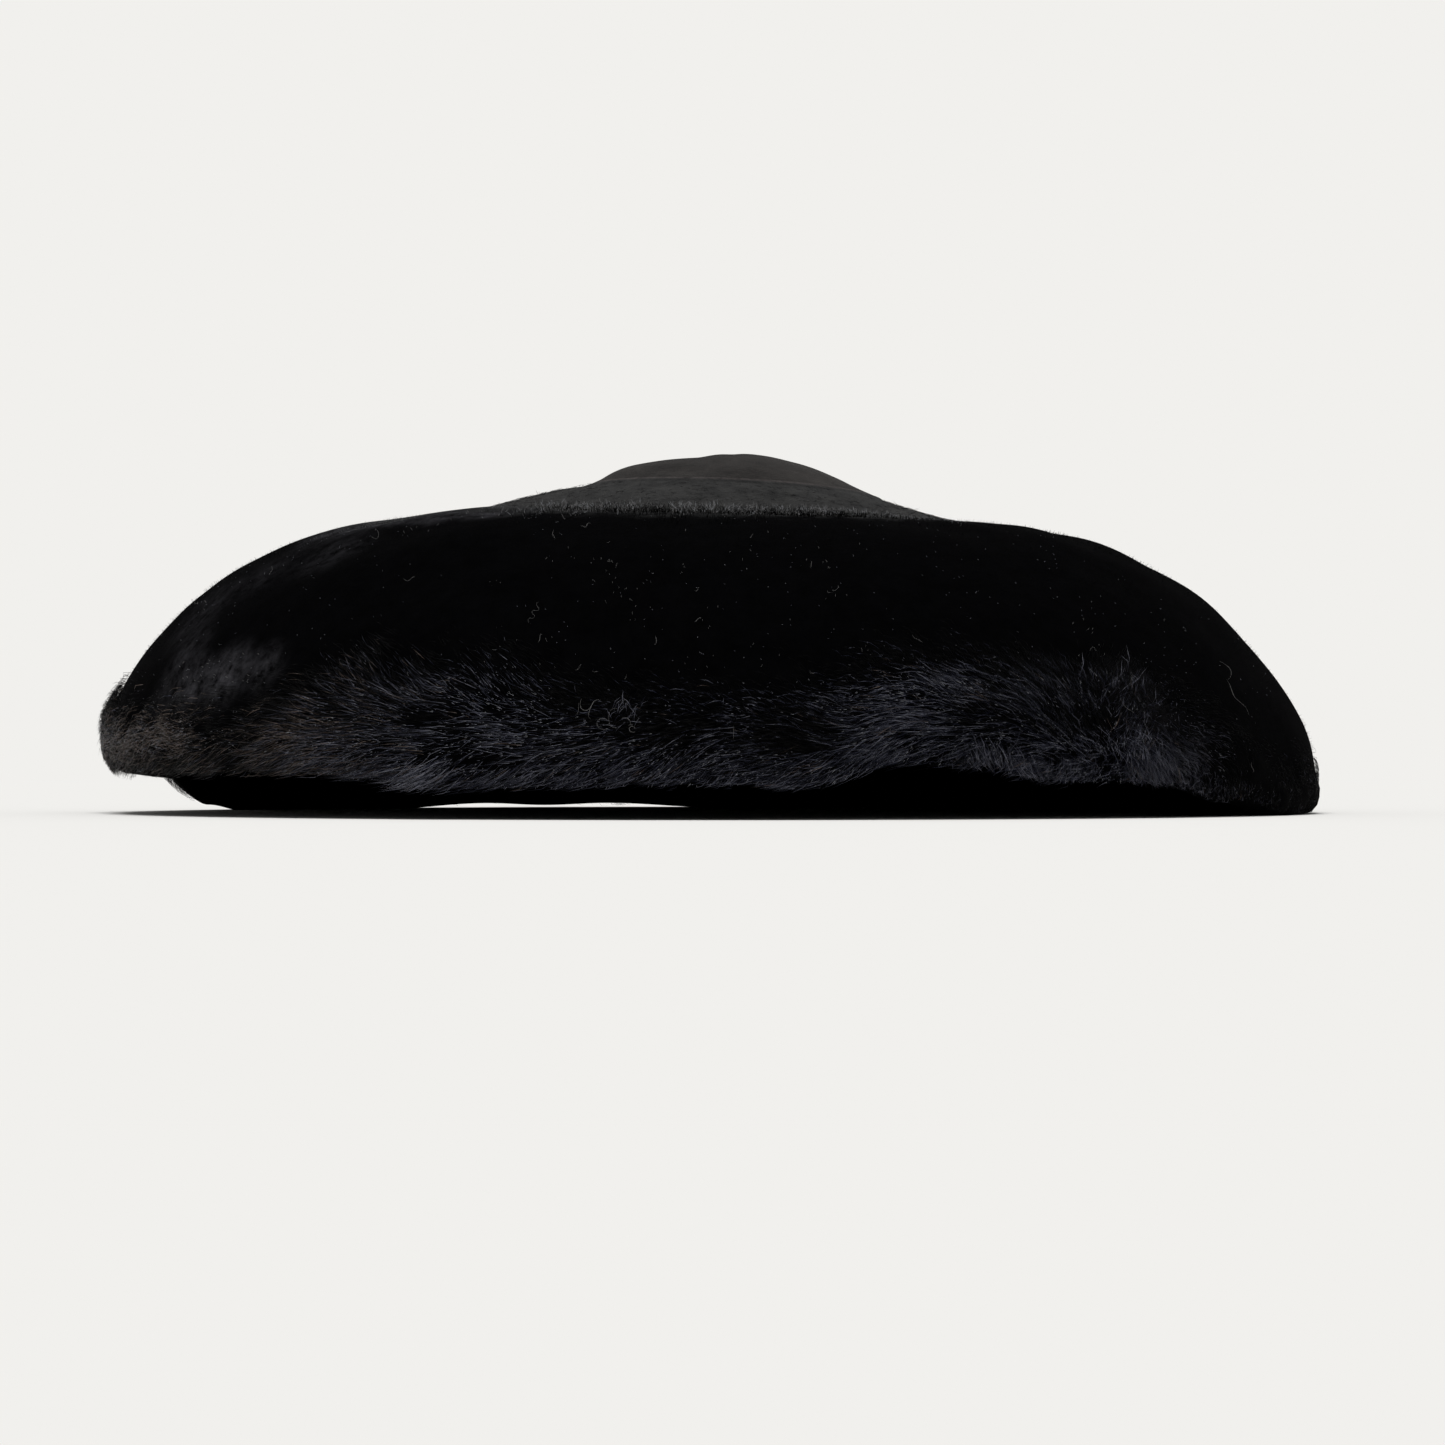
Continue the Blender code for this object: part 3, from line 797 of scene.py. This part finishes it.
def build_brim():
    """The brim's felt, a closed shell that swells into the fur's dense undercoat."""
    end = FELT.along[-1]
    foot_end = CROWN_RADIUS + 0.004 - HEAD_HOLE_RADIUS
    along = np.hstack([np.linspace(0.0, foot_end, BRIM_SEAT_ROWS)[:-1],
                       np.linspace(foot_end, end, BRIM_OUTER_ROWS)])
    turns = np.linspace(0.0, tau, BRIM_STEPS, endpoint=False)
    azimuth, outer_along = np.meshgrid(turns, along)
    radius = np.interp(outer_along, FELT.along, FELT.radius)
    height = np.interp(outer_along, FELT.along, FELT.height)
    in_fur = fur_share(azimuth, height) * ease(end, end - 0.012, outer_along)
    clumps = waves(azimuth, outer_along, seed=5, count=40, turns_high=110, length_low=0.01)
    broad = waves(azimuth, outer_along, seed=6, count=16, turns_high=24, length_low=0.04)
    on_roll = ease(FELT.roll_start, FELT.roll_start + 0.03, outer_along)
    welt = bell((radius - CROWN_RADIUS - WELT_OFFSET) / WELT_REACH) * WELT_HEIGHT
    on_flank = ease(CROWN_RADIUS, CROWN_RADIUS + 0.012, radius)
    swell = in_fur * (UNDERCOAT + UNDERCOAT_CLUMPS * clumps) + BRIM_UNEVEN * broad * on_roll
    swell += welt + flank_swell(azimuth, radius) * on_flank
    outer = FELT.raised(azimuth, outer_along, swell)
    inner = INSIDE.raised(*np.meshgrid(turns, np.linspace(end, 0.0, BRIM_INNER_ROWS)), -WALL)
    points = np.concatenate([outer, inner]).reshape(-1, 3) + SHIFT
    points[:, 2] = np.maximum(points[:, 2], 0.0)
    quads = ring_grid(len(along) + BRIM_INNER_ROWS, BRIM_STEPS, closed=True)
    flank_rows = np.count_nonzero(along < FELT.roll_start + 0.002)
    slots = np.where(np.arange(len(quads)) < flank_rows * BRIM_STEPS, 0, 1)
    mesh = mesh_from_arrays("brim_felt", points, quads.ravel(), np.full(len(quads), 4), slots)
    # The pile's felt carries the painted sheen patches and band
    piece = new_object(mesh, [felt_material(FLANK), felt_material(PILE_BASE, with_painted_sheen=True)])
    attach(piece, "root")
    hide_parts("brim")


# Fur
def comb_turn(azimuth, height):
    """The combed hair's angle above the level line towards smaller azimuths, in radians."""
    low, middle, top = (around(azimuth, column) for column in ("low_turn", "middle_turn", "top_turn"))
    below = ease(LOW_HEIGHT, PARTING_HEIGHT, height)
    above = ease(PARTING_HEIGHT, TOP_HEIGHT, height)
    return np.radians(low + (middle - low) * below + (top - middle) * above)


def lift_share(azimuth, height):
    """How much of its lift the fur keeps: less where it is tucked in."""
    return 1.0 - 0.75 * (around(azimuth, "tuck") * ease(0.032, 0.01, height))


def shine_share(azimuth, height):
    """The share of glossy hairs at points of the coat; painted glints are spread by it as well."""
    share = 0.3 + 0.1 * waves(azimuth, height, seed=17, count=20, turns_high=40, length_low=0.03)
    for shine in SHINES:
        share += shine.gain * spot_share(azimuth, height, shine)
    fur_top = around(azimuth, "fur_top")
    return np.clip(share * (1.0 - 0.8 * ease(fur_top - 0.012, fur_top + 0.008, height)), 0.04, 0.9)


def picked(chance, share, size):
    """Which of a number of hairs fall in a share."""
    return chance.random(size) < share


def kept(keep, *columns):
    return [column[keep] for column in columns]


def hair_slots(chance, azimuth, height):
    """Slots of each hair's lower part and tip: dull or glossy, brown at the left end, a few tips pale with a
    painted glint.
    """
    size = len(azimuth)
    left_end = between((245, 270), (345, 303), azimuth % tau)
    shine = shine_share(azimuth, height)
    brown = picked(chance, 0.02 + 0.84 * left_end, size)
    tip_slots = np.where(picked(chance, 0.92 * shine, size), np.where(brown, BROWN_BLACK, BLUE_BLACK), BLACK)
    # Painted glints: pale tips, more of them where the coat shines
    pale = picked(chance, (0.09 + 0.25 * shine + 0.06 * left_end) * shine, size)
    tip_slots = np.where(pale, np.where(brown, BROWN_PAINTED_GLINT_TIP, PAINTED_GLINT_TIP), tip_slots)
    whole = picked(chance, 0.62, size)
    return np.where(whole, tip_slots, BLACK), tip_slots


def lay_hairs(chance, azimuth, along, drawn, turn, length, lift):
    """Roots, middles and tips of hairs that lie along the coat and rise out of it by their lift.

    Drawn: how far a root lies from its clump's middle, across and down, and what share its tip draws in.
    """
    across_off, down_off, gather = drawn
    size = len(azimuth)
    end = FUR.along[-1]
    reach_down = around(azimuth, "hang")
    hang = reach_down * chance.uniform(0.72, 1.15, size)

    def reached(share, gathered, rise):
        across = across_off * (1.0 - gathered) - np.cos(turn) * length * share
        down = down_off * (1.0 - gathered) - np.sin(turn) * length * share
        past = np.maximum(along + down - end, 0.0)
        at_along = np.minimum(along + down, end) + hang * np.tanh(past / hang)
        return FUR.raised(azimuth + across / ROLL_REACH, at_along, rise)

    root_along = np.minimum(along + down_off, end + 0.5 * reach_down)
    roots = FUR.raised(azimuth + across_off / ROLL_REACH, root_along, 0.0006)
    middles = reached(BEND_AT, gather * BEND_AT, 0.0014 + lift * 0.6)
    tips = reached(1.0, gather, 0.0008 + lift * chance.uniform(0.4, 1.2, size))
    return [above_floor(points + SHIFT) for points in (roots, middles, tips)]


def build_fur():
    """Long combed fur in clumps, whose hairs draw together at their tips."""
    chance = default_rng(21)
    azimuth = chance.uniform(0.0, tau, CLUMP_COUNT)
    along = chance.uniform(FUR.along_at_height(0.062), FUR.along[-1] + 0.0055, CLUMP_COUNT)
    height = FUR.height_at(along)
    wanted = fur_share(azimuth, height) * (0.74 + 0.26 * np.cos(azimuth))
    wanted *= along < FUR.along[-1] + 0.5 * around(azimuth, "hang")
    azimuth, along, height = kept(picked(chance, wanted, CLUMP_COUNT), azimuth, along, height)
    count = len(azimuth)
    turn = comb_turn(azimuth, height)
    turn += 0.17 * waves(azimuth, along, seed=13, count=30, turns_high=60, length_low=0.02)
    turn += chance.normal(0.0, 0.09, count)
    near_top = ease(-0.016, 0.002, height - around(azimuth, "fur_top"))
    length = around(azimuth, "length") * chance.uniform(0.75, 1.15, count)
    length *= 1.0 - 0.58 * near_top
    lift = around(azimuth, "lift") * chance.uniform(0.5, 1.4, count)
    lift *= (1.0 - 0.5 * near_top) * lift_share(azimuth, height)

    clumps = np.array([azimuth, along, height, turn, length, lift])
    azimuth, along, height, turn, length, lift = np.repeat(clumps, HAIRS_PER_CLUMP, axis=1)
    size = len(azimuth)
    drawn = (*chance.normal(0.0, CLUMP_SPREAD, (2, size)), chance.uniform(0.05, 0.5, size))
    turn += chance.normal(0.0, 0.08, size)
    length *= chance.uniform(0.65, 1.1, size)
    path = lay_hairs(chance, azimuth, along, drawn, turn, length, lift)
    slots, tip_slots = hair_slots(chance, azimuth, height)
    widths = chance.uniform(0.00009, 0.00017, size)
    widths *= np.where((tip_slots == PAINTED_GLINT_TIP) | (tip_slots == BROWN_PAINTED_GLINT_TIP), 1.15, 1.0)
    sector = (((azimuth + pi) % tau) / tau * FUR_SECTORS).astype(int)
    for index in range(FUR_SECTORS):
        own = kept(sector == index, *path, widths, slots, tip_slots)
        add_hairs(f"fur_{index}", own[:3], *own[3:])


def build_tufts():
    chance = default_rng(57)
    tufts = Tuft(*np.array([tuft for tuft in TUFTS for _ in range(tuft.count)]).T)
    size = len(tufts.azimuth)

    def scattered(spread):
        return spread * np.clip(chance.normal(0.0, 0.6, size), -1.3, 1.3)

    azimuth = np.radians(tufts.azimuth + scattered(tufts.spread_turn))
    height = tufts.height + scattered(tufts.spread_height)
    turn = np.radians(tufts.turn + tufts.fan * chance.normal(0.0, 1.0, size))
    length = tufts.length * chance.uniform(0.6, 1.15, size)
    path = lay_hairs(chance, azimuth, FUR.along_at(height), np.zeros((3, size)), turn, length, tufts.lift)
    widths = chance.uniform(0.0001, 0.0002, size)
    slots, tip_slots = hair_slots(chance, azimuth, height)
    # Pale hairs: a painted glint at the tip and painted light along the lower part
    pale = picked(chance, tufts.pale, size)
    slots[pale] = PAINTED_GLINT_TIP
    tip_slots[pale] = PAINTED_GLINT
    add_hairs("tufts", path, widths, slots, tip_slots)


def build_nap():
    """The velvety pile between the shelf and the long fur."""
    chance = default_rng(33)
    size = NAP_COUNT
    reach = FUR.along_at_height(0.03) - FELT.roll_start
    azimuth = chance.uniform(0.0, tau, size)
    along = FELT.roll_start + 0.004 + reach * chance.random(size)
    length = chance.uniform(0.0007, 0.0014, size)
    widths = chance.uniform(0.0001, 0.00018, size)
    slots = np.where(picked(chance, 0.93, size), PILE_BLACK, BLACK)
    out = FELT.normal(azimuth, along)
    roots = FELT.point(azimuth, along)
    tips = roots + unit(out + chance.normal(0.0, 0.4, (size, 3))) * length[:, None]
    roots = roots - out * ROOT_DEPTH
    add_hairs("nap", (roots + SHIFT, tips + SHIFT), widths, slots, slots)


def build_fringe():
    """The pile that stands where the brim rolls over: dark tufts with hairs between whose grey tips carry
    painted rim light.
    """
    chance = default_rng(41)
    size = FRINGE_LIGHT_COUNT + FRINGE_DARK_COUNT
    is_light = np.arange(size) < FRINGE_LIGHT_COUNT
    azimuth = chance.uniform(-pi, pi, size)
    down = chance.beta(1.6, 1.9, size)
    depth = 1.0 - NARROW_SHARE * bell((azimuth - NARROW_TURN) / NARROW_SPREAD)
    depth *= 1.0 + 0.35 * waves(azimuth, 0.0, seed=45, count=18, turns_high=120, length_low=1.0)
    depth *= np.where(is_light, 0.038, 0.034) * down
    along = FELT.roll_start + 0.003 - PILE_START_SHIFT * np.sin(azimuth) + depth
    tuft = waves(azimuth, along, seed=43, count=30, turns_high=150, length_low=0.12)
    tuft = np.clip(0.6 + 1.3 * tuft, 0.0, 1.0)
    # Painted sheen at the left of the shoulder: light hairs kept there, with painted light along them
    painted_sheen_left = between((-75, -58), (-28, -40), azimuth)
    wanted = np.where(is_light, 0.12 + 0.88 * tuft, 1.0 - 0.88 * np.maximum(tuft, painted_sheen_left))
    wanted *= 0.8 + 0.2 * np.cos(azimuth)
    keep = picked(chance, wanted, size)
    azimuth, along, down, is_light, painted_sheen_left = kept(keep, azimuth, along, down, is_light, painted_sheen_left)
    size = len(azimuth)
    in_front = ease(*np.radians((48, 20)), np.abs(azimuth))
    length = chance.uniform(0.0016, 0.0058, size) * (0.16 + 0.84 * in_front)
    length *= 1.0 - 0.3 * down
    out = FELT.normal(azimuth, along)
    roots = FELT.point(azimuth, along) - out * ROOT_DEPTH + SHIFT
    leaning = unit(out + chance.normal(0.0, 0.26, (size, 3)))
    middles = roots + leaning * (0.6 * length)[:, None]
    tips = roots + unit(leaning + chance.normal(0.0, 0.3, (size, 3))) * length[:, None]
    widths = chance.uniform(0.00012, 0.00022, size)
    # Painted rim light: bright tips, black further down the roll
    chosen = chance.random(size)
    lower_down = ease(0.5, 1.0, down) * (1.0 - 0.7 * painted_sheen_left)
    light_tips = np.where(chosen < 0.3, BRIGHT_PAINTED_GLINT, np.where(chosen < 0.76, PAINTED_RIM_LIGHT_TIP, GREY_FIBRE_AND_PAINTED_RIM_LIGHT))
    light_tips = np.where(picked(chance, lower_down, size), BLACK, light_tips)
    light_tips = np.where((painted_sheen_left > 0.5) & (light_tips == BRIGHT_PAINTED_GLINT), PAINTED_RIM_LIGHT_TIP, light_tips)
    tip_slots = np.where(is_light, light_tips, PILE_BLACK)
    light_whole = (tip_slots == BRIGHT_PAINTED_GLINT) | (is_light & (painted_sheen_left > 0.5) & (tip_slots != BLACK))
    slots = np.where(light_whole, GREY_FIBRE_AND_PAINTED_RIM_LIGHT, np.where(is_light, BLACK, PILE_BLACK))
    add_hairs("shoulder_fringe", (roots, middles, tips), widths, slots, tip_slots)


def build_flank_fibres():
    """Fine matted fibres that lie on the flank."""
    chance = default_rng(71)
    size = FLANK_FIBRE_COUNT
    azimuth = chance.uniform(-pi, pi, size)
    spread = ROLL_START - CROWN_RADIUS - 0.004
    radius = CROWN_RADIUS + 0.002 + spread * chance.random(size) ** 0.6
    along = np.interp(radius, FELT.radius, FELT.along)
    out = FELT.normal(azimuth, along)
    lying = np.cross(out, chance.normal(0.0, 1.0, (size, 3)))
    leaning = unit(lying + out * chance.uniform(-0.08, 0.12, size)[:, None])
    roots = FELT.point(azimuth, along) + out * (0.0002 + flank_swell(azimuth, radius))[:, None]
    tips = roots + leaning * chance.uniform(0.0012, 0.0034, size)[:, None]
    widths = chance.uniform(0.0001, 0.0002, size)
    slots = np.where(picked(chance, 0.42, size), GREY_FIBRE_AND_PAINTED_RIM_LIGHT, BLACK)
    add_hairs("flank_fibres", (roots + SHIFT, tips + SHIFT), widths, slots, slots)


def build_painted_glints():
    """Painted glints: short bright dashes along the combed hairs, and bright specks over the whole coat."""
    chance = default_rng(47)
    azimuth = chance.uniform(-pi, pi, PAINTED_GLINTS_TRIED)
    height = chance.uniform(0.0, 0.104, PAINTED_GLINTS_TRIED)
    in_fur = fur_share(azimuth, height)
    shine = shine_share(azimuth, height)
    right_end = between((44, 56), (125, 112), azimuth)
    wanted = (0.03 + in_fur * shine * (0.5 + 1.7 * shine)) * (1.0 - 0.75 * right_end)
    wanted *= height > FUR.height[-1] - 0.8 * around(azimuth, "hang")
    azimuth, height, in_fur = kept(picked(chance, wanted, PAINTED_GLINTS_TRIED), azimuth, height, in_fur)
    size = len(azimuth)
    turn = comb_turn(azimuth, height) + chance.normal(0.0, 0.12 + 0.8 * (1.0 - in_fur), size)
    along = FUR.along_at(height)
    rise = around(azimuth, "lift") * chance.uniform(0.45, 1.1, size)
    out = 0.0008 + in_fur * (0.0004 + rise * lift_share(azimuth, height))
    reach = 0.0003 + chance.gamma(1.5, 0.00034, size) * (0.25 + 0.75 * in_fur)
    low = FUR.raised(azimuth, along, out)
    high = FUR.raised(azimuth - np.cos(turn) * reach / ROLL_REACH, along - np.sin(turn) * reach, out + 0.0002)
    widths = chance.uniform(0.00009, 0.00018, size)
    slots = np.where(picked(chance, 0.3 + 0.1 * (1.0 - in_fur), size), BRIGHT_PAINTED_GLINT, PAINTED_GLINT)
    clear = np.minimum(low[:, 2], high[:, 2]) > FLOOR_CLEARANCE
    low, high, widths, slots = kept(clear, low + SHIFT, high + SHIFT, widths, slots)
    add_hairs("painted_glints", (low, high), widths, slots, slots)


# Lint
def seen_at(points):
    """The photograph's pixel at which each point shows."""
    focal = CAMERA_LENS / SENSOR_WIDTH * PHOTO_SIDE
    depth = points[..., 1] - CAMERA_PLACE[1]
    rise = np.arctan((points[..., 2] - CAMERA_PLACE[2]) / depth) - CAMERA_PITCH
    photo_x = PHOTO_SIDE / 2.0 + focal * (points[..., 0] - CAMERA_PLACE[0]) / depth
    return np.stack([photo_x, PHOTO_SIDE / 2.0 - focal * np.tan(rise)], axis=-1)


def seen_places(rows):
    """Azimuths and distances along the coat at which the photograph shows the rows."""
    azimuth, along = np.meshgrid(np.radians(np.arange(-88.0, 88.0, 0.1)),
                                 np.arange(FELT.roll_start, FELT.along[-1], 0.0004))
    seen = seen_at(FELT.point(azimuth, along) + SHIFT)
    nearest = [np.argmin(np.sum((seen - (row.photo_x, row.photo_y)) ** 2, axis=-1)) for row in rows]
    return azimuth.ravel()[nearest], along.ravel()[nearest]


def fibre_path(row, azimuth, along, steps):
    """A loose fibre's path: its shape in the photograph, laid on the coat round its middle."""
    run = np.linspace(-0.5, 0.5, steps)
    heading = np.radians(row.turn + row.bend * run + row.swing * np.sin(tau * row.swings * run))
    step = row.length / (steps - 1)
    pixels = np.stack([np.cumsum(np.cos(heading)), -np.cumsum(np.sin(heading))], axis=1) * step
    pixels -= (pixels.min(axis=0) + pixels.max(axis=0)) / 2.0
    nudge = 0.0005
    nudge_turn = nudge / 0.2
    corners = FELT.point(azimuth + nudge_turn * np.array([0, 1, 0]), along + nudge * np.array([0, 0, 1]))
    here, beside, below = seen_at(corners + SHIFT)
    moved = np.linalg.solve(np.stack([beside - here, below - here], axis=1), pixels.T).T
    at_azimuth = azimuth + moved[:, 0] * nudge_turn
    at_along = along + moved[:, 1] * nudge
    fur = fur_share(at_azimuth, np.interp(at_along, FELT.along, FELT.height))
    return FELT.raised(at_azimuth, at_along, 0.0014 + 0.0048 * fur + 0.0003 * np.sin(tau * run))


def lint_rows(chance):
    """The loose fibres, those of the knot and the specks of the clusters."""
    def scattered(group):
        return (group.photo_x + group.half_width * chance.uniform(-1.0, 1.0),
                group.photo_y + group.half_height * chance.uniform(-1.0, 1.0))

    rows = list(FIBRES)
    for _ in range(KNOT.count):
        rows.append(Fibre(*scattered(KNOT), chance.uniform(12, 34), chance.uniform(0, 360),
                          chance.uniform(140, 320) * chance.choice([-1.0, 1.0]), swing=20))
    for cluster in CLUSTERS:
        for _ in range(cluster.count):
            rows.append(Fibre(*scattered(cluster), 0.7 + chance.gamma(1.5, 0.7), chance.uniform(0, 180),
                              chance.uniform(-60, 60)))
    return rows


def build_lint():
    chance = default_rng(61)
    rows = lint_rows(chance)
    points = np.empty((0, 3))
    corners = []
    totals = []
    for row, azimuth, along in zip(rows, *seen_places(rows)):
        path = fibre_path(row, azimuth, along, 4 + int(row.length / 2.0)) + SHIFT
        new_points, faces = tube(path, chance.uniform(0.00004, 0.00008))
        corners += [len(points) + corner for face in faces for corner in face]
        totals += [len(face) for face in faces]
        points = np.concatenate([points, new_points])
    slots = np.full(len(totals), LINT)
    add_to_coat(mesh_from_arrays("lint", points, np.array(corners), np.array(totals), slots))


# Surroundings
def build_stage():
    """A pale floor that runs out to a backdrop of the same tone."""
    half = FLOOR_SIZE / 2.0
    mesh = bpy.data.meshes.new("floor")
    mesh.from_pydata([(-half, -half, 0), (half, -half, 0), (half, half, 0), (-half, half, 0)], [],
                     [(0, 1, 2, 3)])
    floor = new_object(mesh, [plain_material("pale_floor", BACKDROP_COLOUR[:3], 1.0, 0.0)])
    world = bpy.data.worlds.new("studio")
    bpy.context.scene.world = world
    world.use_nodes = True
    world.node_tree.nodes.clear()
    seen = add_node(world, "Background", {"Color": BACKDROP_COLOUR}).outputs["Background"]
    white = {"Color": (*WHITE, 1.0), "Strength": WORLD_LIGHT}
    lighting = add_node(world, "Background", white).outputs["Background"]
    to_camera = add_node(world, "LightPath", {}).outputs["Is Camera Ray"]
    mix = add_node(world, "MixShader", {"Fac": to_camera, 1: lighting, 2: seen})
    add_node(world, "OutputWorld", {"Surface": mix.outputs["Shader"]})


def build_light():
    light = bpy.data.lights.new("overhead", "SUN")
    light.angle = SUN_SPREAD
    light.energy = SUN_LIGHT * pi / (cos(SUN_TURN[0]) * cos(SUN_TURN[1]))
    new_object(light).rotation_euler = SUN_TURN


def build_camera():
    data = bpy.data.cameras.new("camera")
    data.sensor_width = SENSOR_WIDTH
    data.lens = CAMERA_LENS
    data.clip_end = 200.0
    camera = new_object(data)
    camera.location = CAMERA_PLACE
    camera.rotation_euler = (pi / 2.0 + CAMERA_PITCH, 0.0, 0.0)
    bpy.context.scene.camera = camera


def main():
    for old in list(bpy.data.objects):
        if old.type in {"CAMERA", "LIGHT"}:
            bpy.data.objects.remove(old)
    bpy.context.scene.view_settings.view_transform = "Standard"
    build_camera()
    build_stage()
    build_light()
    build_crown()
    build_brim()
    build_nap()
    build_fringe()
    build_flank_fibres()
    build_painted_glints()
    build_lint()
    build_fur()
    build_tufts()


main()
